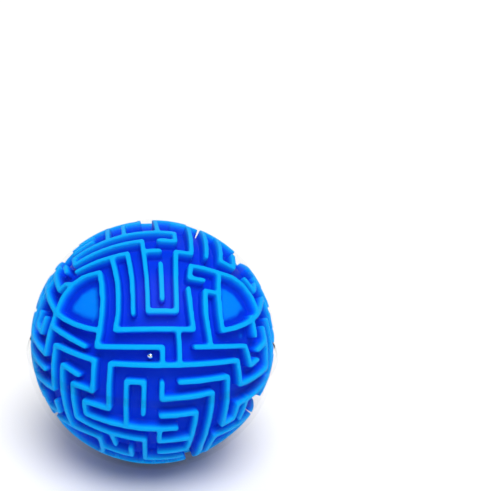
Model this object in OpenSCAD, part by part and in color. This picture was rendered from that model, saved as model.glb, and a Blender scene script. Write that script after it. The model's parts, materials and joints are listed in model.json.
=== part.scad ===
// Maze ball: a blue labyrinth globe in two mouldings, sealed inside a clear two-part
// sphere, with one small steel ball that rolls in the channels between the maze walls.
// The origin is the centre of the globe, with +Z up and the front towards -Y.

/* [Clear sphere] */
// Outside diameter of the clear sphere
sphere_d = 75; // [60:1:100]
// Wall thickness of the clear sphere
sphere_wall = 1.3; // [1:0.1:2]
// Height of the lap joint where the clear halves meet
lap_h = 1.6; // [1:0.1:3]
// Gap left between the faces of the lap joint
lap_gap = 0.06; // [0.02:0.01:0.15]

/* [Maze] */
// Gap between the wall crests and the inside of the clear sphere
crest_gap = 0.2; // [0.1:0.05:0.4]
// Depth of the channels
channel_depth = 3; // [2.4:0.1:4]
// Thickness of the maze walls
wall_t = 1.3; // [1:0.1:1.6]
// Thickness of the globe under the channels
globe_t = 1.6; // [1.2:0.1:3]
// How far below the middle the two maze halves meet
seam_drop = 2; // [1.5:0.1:2.5]
// Height that the locating ring stands above the joint between the maze halves
ring_up = 2.5; // [1:0.5:5]

/* [Steel ball] */
// Diameter of the steel ball
ball_d = 1.8; // [1.4:0.1:1.9]
// Rolling clearance under the steel ball
ball_gap = 0.2; // [0.1:0.05:0.3]
// Place of the steel ball along its channel, in grid steps from the middle of the front
ball_place = -0.72; // [-4:0.01:-0.6]

/* [Hidden] */
$fn = 96;
maze_fn = 36;
facet_turn = [8, 12, 24];  // keeps the facets' edges off the lines of the maze grid

sphere_r = sphere_d / 2;
inner_r = sphere_r - sphere_wall;
crest_r = inner_r - crest_gap;
floor_r = crest_r - channel_depth;
globe_r = floor_r - globe_t;
lap_r = (sphere_r + inner_r) / 2;
big = 2 * sphere_d;
root = 0.6;              // how far a wall runs down into the globe
foot_r = 0.62 * wall_t;  // half the thickness of a wall at its foot

// The maze grid is a cube blown up to a sphere. Each face has twelve cells each way, so a
// grid line is a great circle and lies a whole number of steps from the face's middle.
step_deg = 90 / 12;
F = 0; R = 1; B = 2; L = 3; T = 4; D = 5;
// For each face: the way it looks, the way its first index runs, the way its second runs
face_axes = [
    [[0, -1, 0], [1, 0, 0], [0, 0, 1]],
    [[1, 0, 0], [0, 1, 0], [0, 0, 1]],
    [[0, 1, 0], [-1, 0, 0], [0, 0, 1]],
    [[-1, 0, 0], [0, -1, 0], [0, 0, 1]],
    [[0, 0, 1], [1, 0, 0], [0, 1, 0]],
    [[0, 0, -1], [1, 0, 0], [0, -1, 0]]];

// Plain three-sided panels round the cube's front corners. Each side bows out from a corner
// through the middle point that follows it to the next corner.
front_panels = [
    [[F, -4, 4], [F, -6, 4.6], [L, 4, 4], [L, 4.1, 6], [T, -4, -4], [F, -4.5, 6], [F, -4, 4]],
    [[F, 4, 4], [F, 6, 4.6], [R, -4, 4], [R, -4.1, 6], [T, 4, -4], [F, 4.5, 6], [F, 4, 4]],
    [[F, -4, -4], [F, -6, -4.6], [L, 4, -4], [L, 4.3, -6], [D, -4, 4], [F, -4.4, -6], [F, -4, -4]],
    [[F, 4, -4], [F, 6, -4.6], [R, -4, -4], [R, -4.3, -6], [D, 4, 4], [F, 4.4, -6], [F, 4, -4]]];

// Walls of the front half, each a run of grid points [face, across, up]
front_walls = [
    // upper front
    [[F, -4, 4], [F, -4, 3], [F, 0, 3], [F, 0, 2]],
    [[T, -3, -3], [T, -3, -5], [F, -3, 5], [F, -3, 4], [F, 2, 4], [F, 2, 5], [T, 2, -5.6]],
    [[F, 1, 4], [F, 1, 2]],
    [[T, 0, -2], [T, 1, -2], [T, 1, -1], [T, -5.4, -1], [T, -5.4, -2], [T, -1, -2],
     [T, -1, -5], [F, -1, 5], [F, 1, 5], [T, 1, -5], [T, 1, -3], [T, 2, -3], [T, 2, 1], [T, 1, 1]],
    [[T, -1, -3], [T, 0, -3]],
    [[T, 0, -4], [F, 0, 5.7]],
    [[T, -5.4, -3], [T, -2, -3], [T, -2, -5], [F, -2, 4.9]],
    [[T, 3, -4.9], [T, 2, -4.9], [T, 2, -4], [T, 4, -4]],
    [[T, 4.3, -5.6], [T, 3.3, -5.6], [F, 3, 5], [F, 3, 3]],
    [[F, 2, 3], [F, 5.6, 3], [F, 5.9, 1.4], [R, -5.3, 1.4]],
    [[R, -5, 4.4], [R, -5.2, 3.2]],
    // middle front
    [[F, 1, -2.1], [F, -4.6, -2.1], [F, -4.6, -1], [F, -3, -1], [F, -3, 2], [F, 4.8, 2], [F, 5, 0.1],
     [R, -4, 0], [R, -4, 3]],
    [[R, -4, 2], [R, -5.2, 2.1]],
    [[F, 1, 1], [F, 4, 1], [F, 4.2, -3], [F, 5.1, -3], [F, 5.1, -1.6], [R, -5, -1.5], [R, -3, -1],
     [R, -3, 3]],
    [[F, 5.9, -1.6], [F, 5.9, -3.7]],
    [[F, 0, 1], [F, 0, 0], [F, 3, 0.1], [F, 3.1, -4.8], [D, 3.1, 4]],
    [[F, -2, -2.1], [F, -2, 1], [F, -1, 1], [F, -1, -1]],
    // lower front
    [[F, 0, -1.1], [F, 2.1, -1.1], [F, 2.1, -4.5], [F, 0.1, -4.5]],
    [[F, 0, -2.1], [F, 0, -3.2], [F, 2.1, -3.2]],
    [[L, 2, -1.2], [L, 4.9, -1.2], [L, 4.9, 2.3], [F, -4, 2.1], [F, -4, 0], [F, -5.4, 0.1],
     [F, -5.4, -3], [F, -0.9, -3.1], [F, -0.9, -5.6], [F, 2.1, -5.6]],
    [[F, -5, 0.9], [L, 5.75, 1.3], [L, 5.75, -4.4]],
    [[F, -3, -3.1], [F, -2.9, -4.2]],
    [[F, -4.2, -5.2], [F, -1.9, -5.3], [F, -1.9, -4.3]],
    [[D, -4, 4.2], [D, -3.2, 4.9], [D, 2.3, 4.9]],
    // left of the front
    [[F, -4.8, 3], [L, 4, 3.1]],
    [[L, 4, 4], [L, 4, 1.1], [L, 1, 1.1], [L, 1, 3]],
    [[L, 4, 4], [L, 2, 4], [L, -1, 4], [L, -1, 2]],
    [[L, 3, 3.1], [L, 3, 2.1], [L, 2, 2.1], [L, 2, 3]],
    [[L, 4.1, 6], [L, 3.3, 5.6], [L, 3, 5], [L, 0, 5]],
    [[L, 2, 5.9], [L, 1, 5.9]],
    [[L, 4, 0], [L, 0, 0], [L, 0, 1]],
    [[L, 4.8, -2.3], [L, 4.8, -3.3], [L, 3, -3.3], [L, 3, -2.2], [L, 1, -2.2]],
    // right of the front
    [[R, -4, 4], [R, -2, 4], [R, -2, 2]],
    [[R, -3.2, 6], [R, -3, 5], [R, -2, 5]]];

// Walls of the top behind the middle
top_walls = [
    [[T, -3, -1], [T, -3, 2], [T, -5, 2]],
    [[T, -2, -1], [T, -2, 1], [T, -1, 1], [T, -1, 3], [T, -3, 3]],
    [[T, 0, -1], [T, 0, 2], [T, 2, 2]],
    [[T, 3, -2.9], [T, 3, 1.3], [T, 5.4, 1.3]],
    [[T, 4, 1.3], [T, 4, -2.8], [T, 5, -2.8], [T, 5, -0.8]],
    [[T, -5.4, 1], [T, -4, 1]],
    [[T, -5.4, 0], [T, -4, 0]],
    [[T, -4, 3], [T, -4, 4], [T, -2, 4], [T, -2, 5]],
    [[T, -3, 5.5], [T, -3, 5]],
    [[T, -1, 5.5], [T, -1, 4], [T, 1, 4], [T, 1, 3], [T, 3, 3], [T, 3, 5.5]],
    [[T, 0, 5.5], [T, 0, 5], [T, 2, 5]],
    [[T, 4, 4], [T, 4, 2.5], [T, 5, 2.5]]];

// Walls shared by the back and the underside, as [across, up]
panel_walls = [
    [[-5.4, 0], [-3, 0], [-3, 2], [-5, 2]],
    [[-5.4, 1], [-4, 1]],
    [[-4, 4], [-4, 3], [-2, 3], [-2, 1], [0, 1]],
    [[-3, 5.4], [-3, 4], [-1, 4], [-1, 2]],
    [[-2, 5], [0, 5], [0, 3], [3, 3], [3, 1], [1, 1], [1, 2]],
    [[1, 5.4], [1, 4], [4, 4]],
    [[2, 5], [3, 5]],
    [[5.4, 3], [4, 3], [4, 0], [2, 0], [2, -1]],
    [[5.4, 1], [5, 1], [5, -2], [3, -2], [3, -1]],
    [[0, 0], [-2, 0], [-2, -2], [-4, -2], [-4, -1], [-5.4, -1]],
    [[1, 0], [1, -2], [-1, -2], [-1, -1]],
    [[-5.4, -3], [-2, -3], [-2, -4], [-4, -4]],
    [[-1, -5.4], [-1, -3], [2, -3], [2, -4], [0, -4], [0, -5.2]],
    [[-3, -5.4], [-2, -5]],
    [[1, -5.4], [1, -5], [3, -5], [3, -3], [5.4, -3]],
    [[4, -4], [4, -3]]];

// Walls shared by the rear parts of the two sides, as [back, up]
side_walls = [
    [[-1, 5], [-1, 3], [2, 3], [2, 1]],
    [[-2, 1], [0, 1], [0, 2]],
    [[0, 5.4], [0, 4], [4, 4]],
    [[1, 5], [3, 5]],
    [[5.4, 3], [3, 3], [3, 0], [1, 0], [1, -2]],
    [[4, 2], [5.4, 2]],
    [[5.4, 0], [4, 0], [4, -2], [2, -2], [2, -1]],
    [[0, 0], [-1, 0], [-1, -2]],
    [[-2, 0], [-2, -3], [0, -3], [0, -1]],
    [[5.4, -1], [5, -1], [5, -3], [1, -3], [1, -4]],
    [[-3, -4], [-1, -4], [-1, -5.4]],
    [[0, -4], [0, -5], [2, -5], [2, -4], [4, -4]],
    [[3, -5.4], [3, -5]]];

// Panels round the four corners of the back
back_panels = [for (s = [-1, 1], k = [-1, 1])
    [[B, 4 * s, 4 * k], [B, 6 * s, 4.6 * k], [s < 0 ? R : L, -4 * s, 4 * k],
     [s < 0 ? R : L, -4.3 * s, 6 * k], [k > 0 ? T : D, -4 * s, 4 * k],
     [B, 4.4 * s, 6 * k], [B, 4 * s, 4 * k]]];

function on_face(face, runs, turn = false) =
    [for (run = runs) [for (p = run) turn ? [face, p[1], -p[0]] : [face, p[0], p[1]]]];

walls = concat(front_walls, top_walls, on_face(B, panel_walls),
    on_face(D, panel_walls, turn = true), on_face(R, side_walls),
    on_face(L, [for (run = side_walls) [for (p = run) [-p[0], p[1]]]]));

// Way from the centre to a grid point
function way(p) = let (a = face_axes[p[0]],
    d = a[0] + tan(p[1] * step_deg) * a[1] + tan(p[2] * step_deg) * a[2]) d / norm(d);

function unit(v) = v / norm(v);

// Ways along a curve that starts at a and goes through the middle way m towards b
function bow(a, m, b) = let (pull = 2 * m - (a + b) / 2)
    [for (t = [0:0.25:0.75]) unit((1 - t) * (1 - t) * a + 2 * t * (1 - t) * pull + t * t * b)];

// A panel's outline: corner, middle, corner, middle, corner, middle, first corner again
function outline(run) = let (w = [for (p = run) way(p)])
    [each bow(w[0], w[1], w[2]), each bow(w[2], w[3], w[4]), each bow(w[4], w[5], w[6]), w[6]];

// True where a run turns gently at b, as it does where it crosses an edge of the cube
function gentle(a, b, c) = let (turn = acos(unit(cross(a, b)) * unit(cross(b, c)))) turn > 5 && turn < 35;

// A run's ways, with its gentle turns eased into curves and its sharp corners kept
function eased(run) = let (w = [for (p = run) way(p)], last = len(w) - 1)
    [for (k = [0:last]) each k > 0 && k < last && gentle(w[k - 1], w[k], w[k + 1])
        ? let (a = 0.55 * w[k] + 0.45 * w[k - 1], c = 0.55 * w[k] + 0.45 * w[k + 1])
            [unit(a), unit(a + 2 * w[k] + c), unit(c)]
        : [w[k]]];

runs = concat([for (run = walls) eased(run)],
    [for (run = concat(front_panels, back_panels)) outline(run)]);
legs = [for (run = runs) for (k = [1:len(run) - 1]) [run[k - 1], run[k]]];

// Radial peg, a little thicker at its foot, that a run of wall is drawn out from
module peg(a) {
    rotate([0, acos(a[2]), atan2(a[1], a[0])]) rotate(10) translate([0, 0, floor_r - root])
        cylinder(r1 = foot_r, r2 = 0.47 * wall_t, h = channel_depth + root + 0.5, $fn = 6);
}

// One straight run of wall, upright on the globe, from way a to way b. It stands past the
// crests, which one sphere trims.
module wall(a, b) {
    turn = atan2(norm(cross(a, b)), a * b);
    n = ceil(turn / 16);
    middles = [for (k = [0:n]) unit(a * sin(turn * (1 - k / n)) + b * sin(turn * k / n))];
    for (k = [1:n]) hull() { peg(middles[k - 1]); peg(middles[k]); }
}

// Ball whose facets lie across the maze grid
module faceted(r) rotate(facet_turn) sphere(r = r, $fn = maze_fn);

// All of space on one side of a level plane
module half_space(z, up) translate([-big / 2, -big / 2, up ? z : z - big]) cube(big);

module maze_half(up) {
    reach = wall_t / crest_r;
    level = -seam_drop / crest_r;
    intersection() {
        union() {
            difference() { faceted(floor_r); faceted(globe_r); }
            intersection() {
                union() for (leg = legs)
                    if (up ? max(leg[0][2], leg[1][2]) > level - reach
                           : min(leg[0][2], leg[1][2]) < level + reach) wall(leg[0], leg[1]);
                faceted(crest_r);
            }
        }
        half_space(-seam_drop, up);
    }
}

// Upper clear half, with the outer lip of the lap joint
module clear_top() color([0.86, 0.95, 0.97, 0.3]) difference() {
    sphere(r = sphere_r);
    sphere(r = inner_r);
    half_space(-lap_h, false);
    translate([0, 0, -big / 2]) cylinder(r = lap_r + lap_gap / 2, h = big / 2);
}

// Lower clear half, with the inner lip of the lap joint
module clear_bottom() color([0.86, 0.95, 0.97, 0.3]) difference() {
    sphere(r = sphere_r);
    sphere(r = inner_r);
    half_space(0, true);
    difference() {
        half_space(-lap_h - lap_gap, true);
        cylinder(r = lap_r - lap_gap / 2, h = big, center = true);
    }
}

// Upper maze moulding
module maze_top() color([0.04, 0.5, 0.95]) maze_half(true);

// Lower maze moulding, with the ring that locates it in the upper one
module maze_bottom() color([0.03, 0.45, 0.9]) {
    maze_half(false);
    ring_out = globe_r - 0.25;
    translate([0, 0, -seam_drop - 7]) difference() {
        cylinder(r = ring_out, h = 7 + ring_up);
        translate([0, 0, -1]) cylinder(r = ring_out - 1.4, h = 9 + ring_up);
    }
}

// Steel ball in its channel, two and a half grid steps above the middle of the front
module steel_ball() color([0.75, 0.77, 0.8])
    translate((floor_r + ball_d / 2 + ball_gap) * way([F, ball_place, 2.5])) sphere(d = ball_d);

clear_top();
clear_bottom();
maze_top();
maze_bottom();
steel_ball();
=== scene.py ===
"""Looks of the maze ball: a blue labyrinth globe in two mouldings inside a clear two-part
sphere, and the small steel ball that rolls between its walls. Lengths are in metres."""

import json
import math

import bmesh
import bpy
import numpy as np
from mathutils import Matrix, Vector
from mathutils.kdtree import KDTree

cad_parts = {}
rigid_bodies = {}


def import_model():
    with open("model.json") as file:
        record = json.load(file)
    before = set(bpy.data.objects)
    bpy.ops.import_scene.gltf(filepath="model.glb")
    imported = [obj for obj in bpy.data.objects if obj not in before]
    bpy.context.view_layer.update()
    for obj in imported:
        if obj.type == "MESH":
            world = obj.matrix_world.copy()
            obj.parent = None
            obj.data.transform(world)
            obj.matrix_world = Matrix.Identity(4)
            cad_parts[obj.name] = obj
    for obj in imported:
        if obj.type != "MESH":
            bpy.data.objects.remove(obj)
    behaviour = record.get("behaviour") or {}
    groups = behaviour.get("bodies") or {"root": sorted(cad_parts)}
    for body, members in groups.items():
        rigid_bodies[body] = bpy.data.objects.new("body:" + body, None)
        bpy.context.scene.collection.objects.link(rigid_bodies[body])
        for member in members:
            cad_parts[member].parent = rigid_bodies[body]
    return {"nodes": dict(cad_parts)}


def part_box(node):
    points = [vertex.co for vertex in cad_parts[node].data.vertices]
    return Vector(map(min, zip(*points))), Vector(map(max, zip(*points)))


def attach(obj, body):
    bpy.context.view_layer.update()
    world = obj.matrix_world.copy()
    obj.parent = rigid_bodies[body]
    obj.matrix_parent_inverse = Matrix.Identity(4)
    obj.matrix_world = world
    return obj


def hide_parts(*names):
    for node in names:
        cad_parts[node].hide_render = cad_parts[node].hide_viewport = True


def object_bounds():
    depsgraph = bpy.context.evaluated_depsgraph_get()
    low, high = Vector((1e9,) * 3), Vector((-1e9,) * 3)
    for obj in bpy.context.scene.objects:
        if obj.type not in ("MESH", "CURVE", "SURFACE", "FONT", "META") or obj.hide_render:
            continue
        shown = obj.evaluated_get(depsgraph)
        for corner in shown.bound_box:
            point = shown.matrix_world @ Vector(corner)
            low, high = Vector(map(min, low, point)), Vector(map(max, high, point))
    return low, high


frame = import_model()
cad_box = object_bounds()


# ---- Camera ----
# A short telephoto view from the front, a little above and hardly to the left, with the
# ball low and left in the frame.
MM = 0.001
CAMERA_AZIMUTH = math.radians(-4.6)
CAMERA_ELEVATION = math.radians(24.6)
CAMERA_ROLL = math.radians(1.9)
CAMERA_DISTANCE = 236.5 * MM
CAMERA_LENS = 57
CAMERA_SHIFT = (0.195, 0.193)

camera_back = Vector((
    math.sin(CAMERA_AZIMUTH) * math.cos(CAMERA_ELEVATION),
    -math.cos(CAMERA_AZIMUTH) * math.cos(CAMERA_ELEVATION),
    math.sin(CAMERA_ELEVATION),
))
camera_right = Vector((math.cos(CAMERA_AZIMUTH), math.sin(CAMERA_AZIMUTH), 0))
camera_turn = Matrix((camera_right, camera_back.cross(camera_right), camera_back)).transposed()
camera_turn = camera_turn @ Matrix.Rotation(CAMERA_ROLL, 3, "Z")
bpy.ops.object.camera_add(location=camera_back * CAMERA_DISTANCE)
camera = bpy.context.object
camera.rotation_euler = camera_turn.to_euler()
camera.data.lens = CAMERA_LENS
camera.data.shift_x, camera.data.shift_y = CAMERA_SHIFT
bpy.context.scene.camera = camera


# ---- Maze mouldings ----
# The labyrinth globe is two hollow blue plastic mouldings that meet just below the middle,
# where a ring inside the lower one stands up into the upper one. The maze walls leave the mould
# with rounded crests and filleted feet. Painted shade darkens the blue from the crests down to
# the floors between the walls, and painted light makes the floors of the open panels lighter.
FLOOR_RADIUS = 33 * MM
CREST_RADIUS = 36 * MM
CREST_SHARE = 0.99  # of the crest radius, past which a point counts as on a crest
FACET_SAG = 0.28 * MM  # how far the middle of a CAD facet can lie inside its sphere
MAZE_SEAM_Z = -2 * MM
SEAM_TOLERANCE = 0.002 * MM
LEVEL_NORMAL = 0.99  # a face whose normal's z is past this lies level
MOULD_GRAIN = 0.3 * MM
SOFTENING = 0.5
SOFTENING_PASSES = 9
MAZE_TRIANGLES = 340000
CREASE_ANGLE = math.radians(65)
HOLLOW_RADIUS = 31.4 * MM
HOLLOW_SEGMENTS = 96
RING_RADIUS = 31.15 * MM
RING_WALL = 1.4 * MM
RING_FOOT_Z = -9 * MM
ROUND_SEGMENTS = 128
CUTTER_REACH = 5 * MM
NEEDLE_WIDTH = 0.0002 * MM
PANEL_MARGIN = 1.2 * MM  # the painted light on a plain panel starts this far from its walls
PANEL_FADE = 1.2 * MM
PANEL_SPREAD = math.cos(math.radians(16))  # how far the panels reach round a cube corner
# Painted light: the open floors of the plain panels are lighter, as if less shaded by walls.
PANEL_LIGHT_BLUE = (0.0, 0.23, 0.97, 1)
# Painted shade: the floors and wall flanks are darker blues than the crests because they lie deep
# between walls.
FLOOR_SHADE_BLUE = (0.0, 0.038, 0.68, 1)
FLANK_SHADE_BLUE = (0.0, 0.11, 0.90, 1)
CREST_BLUE = (0.001, 0.41, 1.0, 1)


def select_only(*pieces):
    bpy.ops.object.select_all(action="DESELECT")
    for piece in pieces:
        piece.select_set(True)
    bpy.context.view_layer.objects.active = pieces[0]


def copied(piece, name):
    twin = piece.copy()
    twin.data = piece.data.copy()
    twin.parent = None
    twin.name = name
    bpy.context.scene.collection.objects.link(twin)
    for key in list(twin.keys()):
        del twin[key]
    return twin


def select_faces(mesh, wanted):
    """In edit mode, selects the faces for which wanted(face) holds."""
    edit = bmesh.from_edit_mesh(mesh)
    for face in edit.faces:
        face.select_set(wanted(face))
    edit.select_flush(True)
    bmesh.update_edit_mesh(mesh)


def apply_modifier(piece, kind, **settings):
    modifier = piece.modifiers.new(kind.lower(), kind)
    for setting, value in settings.items():
        setattr(modifier, setting, value)
    select_only(piece)
    bpy.ops.object.modifier_apply(modifier=modifier.name)


def reshape_radially(piece, new_radius):
    """Moves each vertex in or out to new_radius(its distance from the centre)."""
    places = np.empty(3 * len(piece.data.vertices), np.float32)
    piece.data.vertices.foreach_get("co", places)
    places = places.reshape(-1, 3)
    radius = np.linalg.norm(places, axis=1)
    places *= (new_radius(radius) / radius)[:, None]
    piece.data.vertices.foreach_set("co", places.ravel())
    piece.data.update()


def true_spheres(radius):
    """Puts the faceted floors on one sphere and trims the crests to another."""
    outer_skin = radius > FLOOR_RADIUS - FACET_SAG
    return np.where(outer_skin, np.clip(radius, FLOOR_RADIUS, CREST_RADIUS - FACET_SAG), radius)


def full_height(radius):
    """Stretches the trimmed and softened walls back up to the height of the crests."""
    highest = radius.max()
    stretch = (CREST_RADIUS - FLOOR_RADIUS) / (highest - FLOOR_RADIUS)
    return np.where(radius > FLOOR_RADIUS, FLOOR_RADIUS + (radius - FLOOR_RADIUS) * stretch, radius)


def keep_outer_skin(maze):
    """Deletes whatever the remesh closed off inside the globe."""
    select_only(maze)
    bpy.ops.object.mode_set(mode="EDIT")
    bpy.ops.mesh.select_mode(type="VERT")
    bpy.ops.mesh.select_all(action="DESELECT")
    edit = bmesh.from_edit_mesh(maze.data)
    max(edit.verts, key=lambda vertex: vertex.co.z).select_set(True)
    bmesh.update_edit_mesh(maze.data)
    bpy.ops.mesh.select_linked()
    bpy.ops.mesh.select_all(action="INVERT")
    bpy.ops.mesh.delete(type="VERT")
    bpy.ops.object.mode_set(mode="OBJECT")


def hollow_out(maze):
    """Gives the globe its round hollow, as a skin that faces inwards."""
    bpy.ops.mesh.primitive_uv_sphere_add(segments=HOLLOW_SEGMENTS,
                                         ring_count=HOLLOW_SEGMENTS // 2, radius=HOLLOW_RADIUS)
    hollow = bpy.context.object
    bpy.ops.object.mode_set(mode="EDIT")
    bpy.ops.mesh.select_all(action="SELECT")
    bpy.ops.mesh.flip_normals()
    bpy.ops.object.mode_set(mode="OBJECT")
    select_only(maze, hollow)
    bpy.ops.object.join()


def whole_maze():
    """Both CAD halves as one closed skin, remeshed so that crests and feet come out soft."""
    halves = [copied(frame["nodes"][name], name + "_copy") for name in ("maze_top", "maze_bottom")]
    select_only(*halves)
    bpy.ops.object.join()
    maze = bpy.context.object
    bpy.ops.object.mode_set(mode="EDIT")
    bpy.ops.mesh.select_mode(type="FACE")
    select_faces(maze.data, lambda face: abs(face.normal.z) > LEVEL_NORMAL
                 and abs(face.calc_center_median().z - MAZE_SEAM_Z) < SEAM_TOLERANCE)
    bpy.ops.mesh.delete(type="FACE")
    bpy.ops.mesh.select_all(action="SELECT")
    bpy.ops.mesh.remove_doubles(threshold=SEAM_TOLERANCE)
    bpy.ops.object.mode_set(mode="OBJECT")
    apply_modifier(maze, "REMESH", mode="VOXEL", voxel_size=MOULD_GRAIN)
    reshape_radially(maze, true_spheres)
    apply_modifier(maze, "SMOOTH", factor=SOFTENING, iterations=SOFTENING_PASSES)
    reshape_radially(maze, full_height)
    keep_outer_skin(maze)
    apply_modifier(maze, "DECIMATE", ratio=MAZE_TRIANGLES / (2 * len(maze.data.polygons)))
    hollow_out(maze)
    return maze


def plug(radius, low, high):
    """An upright cylinder on the z axis, from low to high."""
    bpy.ops.mesh.primitive_cylinder_add(vertices=ROUND_SEGMENTS, radius=radius, depth=high - low,
                                        location=(0, 0, (low + high) / 2))
    return bpy.context.object


def cut_away(piece, tool):
    """Takes the tool's shape out of the piece, and leaves no needle-thin faces."""
    apply_modifier(piece, "BOOLEAN", operation="DIFFERENCE", solver="EXACT", object=tool)
    bpy.data.objects.remove(tool)
    bpy.ops.object.mode_set(mode="EDIT")
    bpy.ops.mesh.select_all(action="SELECT")
    bpy.ops.mesh.remove_doubles(threshold=NEEDLE_WIDTH)
    bpy.ops.object.mode_set(mode="OBJECT")


def locating_ring():
    """The ring inside the lower moulding that stands up into the upper one."""
    ring = plug(RING_RADIUS, RING_FOOT_Z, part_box("maze_bottom")[1].z)
    cut_away(ring, plug(RING_RADIUS - RING_WALL, RING_FOOT_Z - MM, CUTTER_REACH))
    return ring


def crest_tree(maze):
    """The places of the wall crests, for finding the one nearest to a point."""
    crests = [vertex.co for vertex in maze.data.vertices
              if vertex.co.length > CREST_SHARE * CREST_RADIUS]
    tree = KDTree(len(crests))
    for number, place in enumerate(crests):
        tree.insert(place, number)
    tree.balance()
    return tree


def mark_panel_light(moulding, crests):
    """Stores the share of painted light on the plain panels round the cube's corners: 1 in the
    open, fading to 0 towards their walls.
    """
    panel_light_share = []
    for vertex in moulding.data.vertices:
        place, radius = vertex.co, vertex.co.length
        near_corner = sum(map(abs, place)) > PANEL_SPREAD * math.sqrt(3) * radius
        reach = crests.find(place)[2] if near_corner else 0
        aside = math.sqrt(max(0, reach ** 2 - (CREST_RADIUS - radius) ** 2))
        panel_light_share.append(min(1, max(0, (aside - PANEL_MARGIN) / PANEL_FADE)))
    marks = moulding.data.attributes.new("panel_light_share", "FLOAT", "POINT")
    marks.data.foreach_set("value", panel_light_share)


def maze_moulding(maze, name, upper):
    """One moulding: the maze cut level at the seam and closed there."""
    moulding = copied(maze, name)
    select_only(moulding)
    bpy.ops.object.mode_set(mode="EDIT")
    bpy.ops.mesh.select_all(action="SELECT")
    bpy.ops.mesh.bisect(plane_co=(0, 0, MAZE_SEAM_Z), plane_no=(0, 0, 1), use_fill=True,
                        clear_inner=upper, clear_outer=not upper)
    bpy.ops.object.mode_set(mode="OBJECT")
    bpy.ops.object.shade_smooth_by_angle(angle=CREASE_ANGLE)
    return moulding


def set_sockets(shader_node, sockets):
    """Sets the inputs of a node by name, with _ for each space."""
    for socket, value in sockets.items():
        shader_node.inputs[socket.replace("_", " ")].default_value = value


def node(tree, kind, place, settings=None, **sockets):
    new = tree.nodes.new(kind)
    new.location = place
    for setting, value in (settings or {}).items():
        setattr(new, setting, value)
    set_sockets(new, sockets)
    return new


def new_material(name, **sockets):
    """A material whose Principled shader has the given socket values."""
    material = bpy.data.materials.new(name)
    material.use_nodes = True
    set_sockets(material.node_tree.nodes["Principled BSDF"], sockets)
    return material


def blue_plastic():
    """Satin-gloss blue with painted shade, deep blue on the floors and azure on the crests, and
    painted light on the open panels.
    """
    material = new_material("blue_plastic", Roughness=0.45, Specular_IOR_Level=0.03)
    tree = material.node_tree
    shader = tree.nodes["Principled BSDF"]
    link = tree.links.new
    place = node(tree, "ShaderNodeTexCoord", (-1100, 100))
    distance = node(tree, "ShaderNodeVectorMath", (-900, 100), {"operation": "LENGTH"})
    height = node(tree, "ShaderNodeMapRange", (-700, 100), From_Min=FLOOR_RADIUS,
                  From_Max=CREST_RADIUS)
    # Painted shade: the colour darkens from the crests down to the floors between the walls.
    ramp = node(tree, "ShaderNodeValToRGB", (-480, 100))
    floor_stop, crest_stop = ramp.color_ramp.elements
    floor_stop.position, floor_stop.color = 0.1, FLOOR_SHADE_BLUE
    crest_stop.position, crest_stop.color = 0.88, CREST_BLUE
    ramp.color_ramp.elements.new(0.5).color = FLANK_SHADE_BLUE
    # Painted light: the open panels' floors are mixed towards a lighter blue.
    panel_light_share = node(tree, "ShaderNodeAttribute", (-480, 330), {"attribute_name": "panel_light_share"})
    mix = node(tree, "ShaderNodeMix", (-200, 200), {"data_type": "RGBA"}, B=PANEL_LIGHT_BLUE)
    grain = node(tree, "ShaderNodeTexNoise", (-700, -250), Scale=900, Detail=3)
    bump = node(tree, "ShaderNodeBump", (-300, -250), Strength=0.06, Distance=0.05 * MM)
    link(place.outputs["Object"], distance.inputs[0])
    link(distance.outputs["Value"], height.inputs["Value"])
    link(height.outputs["Result"], ramp.inputs["Fac"])
    link(ramp.outputs["Color"], mix.inputs["A"])
    link(panel_light_share.outputs["Fac"], mix.inputs["Factor"])
    link(mix.outputs["Result"], shader.inputs["Base Color"])
    link(place.outputs["Object"], grain.inputs["Vector"])
    link(grain.outputs["Fac"], bump.inputs["Height"])
    link(bump.outputs["Normal"], shader.inputs["Normal"])
    return material


maze_plastic = blue_plastic()
maze_skin = whole_maze()
crest_places = crest_tree(maze_skin)
for cad_name, upper in (("maze_top", True), ("maze_bottom", False)):
    moulding = maze_moulding(maze_skin, cad_name + "_moulding", upper)
    mark_panel_light(moulding, crest_places)
    if not upper:
        select_only(moulding, locating_ring())
        bpy.ops.object.join()
    moulding.data.materials.clear()
    moulding.data.materials.append(maze_plastic)
    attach(moulding, "globe")
    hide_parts(cad_name)
bpy.data.objects.remove(maze_skin)


# ---- Clear sphere ----
# The case is two hemispheres of clear polystyrene, 1.3 mm thick, pressed together at a
# stepped lap joint: the upper half has the outer lip and the lower half the inner one.
CASE_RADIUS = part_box("clear_top")[1].z
CASE_WALL = 1.3 * MM
LAP_HEIGHT = -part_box("clear_top")[0].z
LAP_RADIUS = CASE_RADIUS - CASE_WALL / 2
LAP_GAP = 0.06 * MM
COLLAR_MARGIN = 2 * MM
LAP_EDGE_ANGLE = math.radians(30)


def clear_shell(name, rim_z, upper):
    """A hemisphere shell of the wall's thickness, cut level at rim_z."""
    bpy.ops.mesh.primitive_uv_sphere_add(segments=ROUND_SEGMENTS, ring_count=ROUND_SEGMENTS // 2,
                                         radius=CASE_RADIUS)
    shell = bpy.context.object
    shell.name = name
    bpy.ops.object.mode_set(mode="EDIT")
    bpy.ops.mesh.select_all(action="SELECT")
    bpy.ops.mesh.bisect(plane_co=(0, 0, rim_z), plane_no=(0, 0, 1),
                        clear_inner=upper, clear_outer=not upper)
    bpy.ops.object.mode_set(mode="OBJECT")
    apply_modifier(shell, "SOLIDIFY", thickness=CASE_WALL, offset=-1, use_even_offset=True)
    return shell


def lap_collar():
    """The ring of space that the upper half's lip takes up round the lower half's lip."""
    collar = plug(CASE_RADIUS + COLLAR_MARGIN, -LAP_HEIGHT - LAP_GAP, COLLAR_MARGIN)
    cut_away(collar, plug(LAP_RADIUS - LAP_GAP / 2, -CUTTER_REACH, CUTTER_REACH))
    return collar


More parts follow.
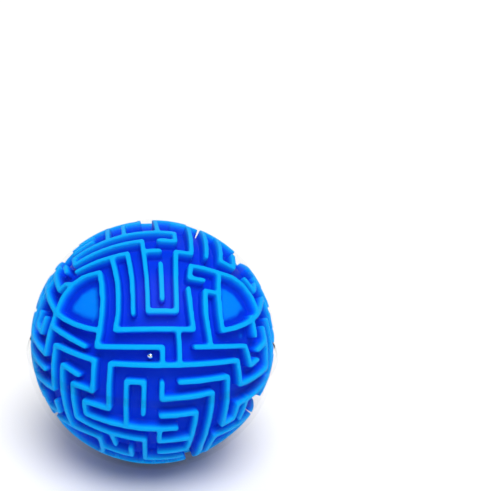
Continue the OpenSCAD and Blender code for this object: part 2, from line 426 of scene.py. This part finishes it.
clear_styrene = new_material("clear_styrene", Base_Color=(0.01, 0.03, 0.04, 1), Roughness=0.18,
                             IOR=1.59, Alpha=0.04, Specular_IOR_Level=0.1)
clear_top = clear_shell("clear_top_shell", -LAP_HEIGHT, True)
cut_away(clear_top, plug(LAP_RADIUS + LAP_GAP / 2, -CUTTER_REACH, 0))
clear_bottom = clear_shell("clear_bottom_shell", 0, False)
cut_away(clear_bottom, lap_collar())
for shell, cad_name in ((clear_top, "clear_top"), (clear_bottom, "clear_bottom")):
    select_only(shell)
    bpy.ops.object.shade_smooth_by_angle(angle=LAP_EDGE_ANGLE)
    shell.data.materials.append(clear_styrene)
    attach(shell, "globe")
    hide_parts(cad_name)


# ---- Steel ball ----
# The ball is a polished steel ball bearing, 1.8 mm across. It lies loose on the floor of a
# channel, and only the maze walls and the clear sphere keep it there.
BALL_CUTS = 11
ball_low, ball_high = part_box("steel_ball")
bpy.ops.mesh.primitive_cube_add(size=1, location=(ball_low + ball_high) / 2)
ball = bpy.context.object
ball.name = "ball_bearing"
bpy.ops.object.mode_set(mode="EDIT")
bpy.ops.mesh.select_all(action="SELECT")
bpy.ops.mesh.subdivide(number_cuts=BALL_CUTS)
bpy.ops.transform.tosphere(value=1)
bpy.ops.object.mode_set(mode="OBJECT")
ball.dimensions = ball_high - ball_low
bpy.ops.object.transform_apply(location=True, rotation=True, scale=True)
bpy.ops.object.shade_smooth()
polished_steel = new_material("polished_steel", Base_Color=(0.78, 0.79, 0.81, 1), Metallic=1,
                              Roughness=0.08)
ball.data.materials.append(polished_steel)
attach(ball, "ball")
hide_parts("steel_ball")


# ---- Floor and light ----
# A plain pale table that runs back out of sight, a broad soft light above the camera and a
# little to the right, and an even pale room round them.
TABLE_SIZE = 80
TABLE_Z = cad_box[0].z
ROOM_STRENGTH = 0.22
BACKDROP_WHITE = (0.95, 0.95, 0.95, 1)

bpy.ops.mesh.primitive_plane_add(size=TABLE_SIZE, location=(0, 0, TABLE_Z))
table = bpy.context.object
table.name = "table"
table_white = new_material("table_white", Base_Color=(0.9, 0.9, 0.9, 1), Roughness=0.9)
table.data.materials.append(table_white)


def soft_sun(name, azimuth, elevation, strength, spread):
    """Even light from far off; azimuth 0 is the front, and the right is positive."""
    side = math.radians(azimuth)
    rise = math.radians(elevation)
    towards = Vector((
        math.sin(side) * math.cos(rise),
        -math.cos(side) * math.cos(rise),
        math.sin(rise),
    ))
    bpy.ops.object.light_add(type="SUN", location=towards)
    sun = bpy.context.object
    sun.name = name
    sun.data.energy = strength
    sun.data.angle = math.radians(spread)
    sun.rotation_euler = (-towards).to_track_quat("-Z", "Y").to_euler()


soft_sun("key_light", azimuth=8, elevation=66, strength=2.95, spread=40)
soft_sun("front_light", azimuth=10, elevation=28, strength=0.45, spread=60)
soft_sun("back_light", azimuth=190, elevation=35, strength=0.5, spread=60)

world = bpy.data.worlds.new("pale_room")
world.use_nodes = True
room = world.node_tree
room_light = room.nodes["Background"]
set_sockets(room_light, {"Color": (1, 1, 1, 1), "Strength": ROOM_STRENGTH})
backdrop = node(room, "ShaderNodeBackground", (0, -150), Color=BACKDROP_WHITE)
rays = node(room, "ShaderNodeLightPath", (0, 300))
choice = node(room, "ShaderNodeMixShader", (250, 100))
room.links.new(rays.outputs["Is Camera Ray"], choice.inputs[0])
room.links.new(room_light.outputs[0], choice.inputs[1])
room.links.new(backdrop.outputs[0], choice.inputs[2])
room.links.new(choice.outputs[0], room.nodes["World Output"].inputs["Surface"])
bpy.context.scene.world = world
bpy.context.scene.view_settings.view_transform = "Standard"
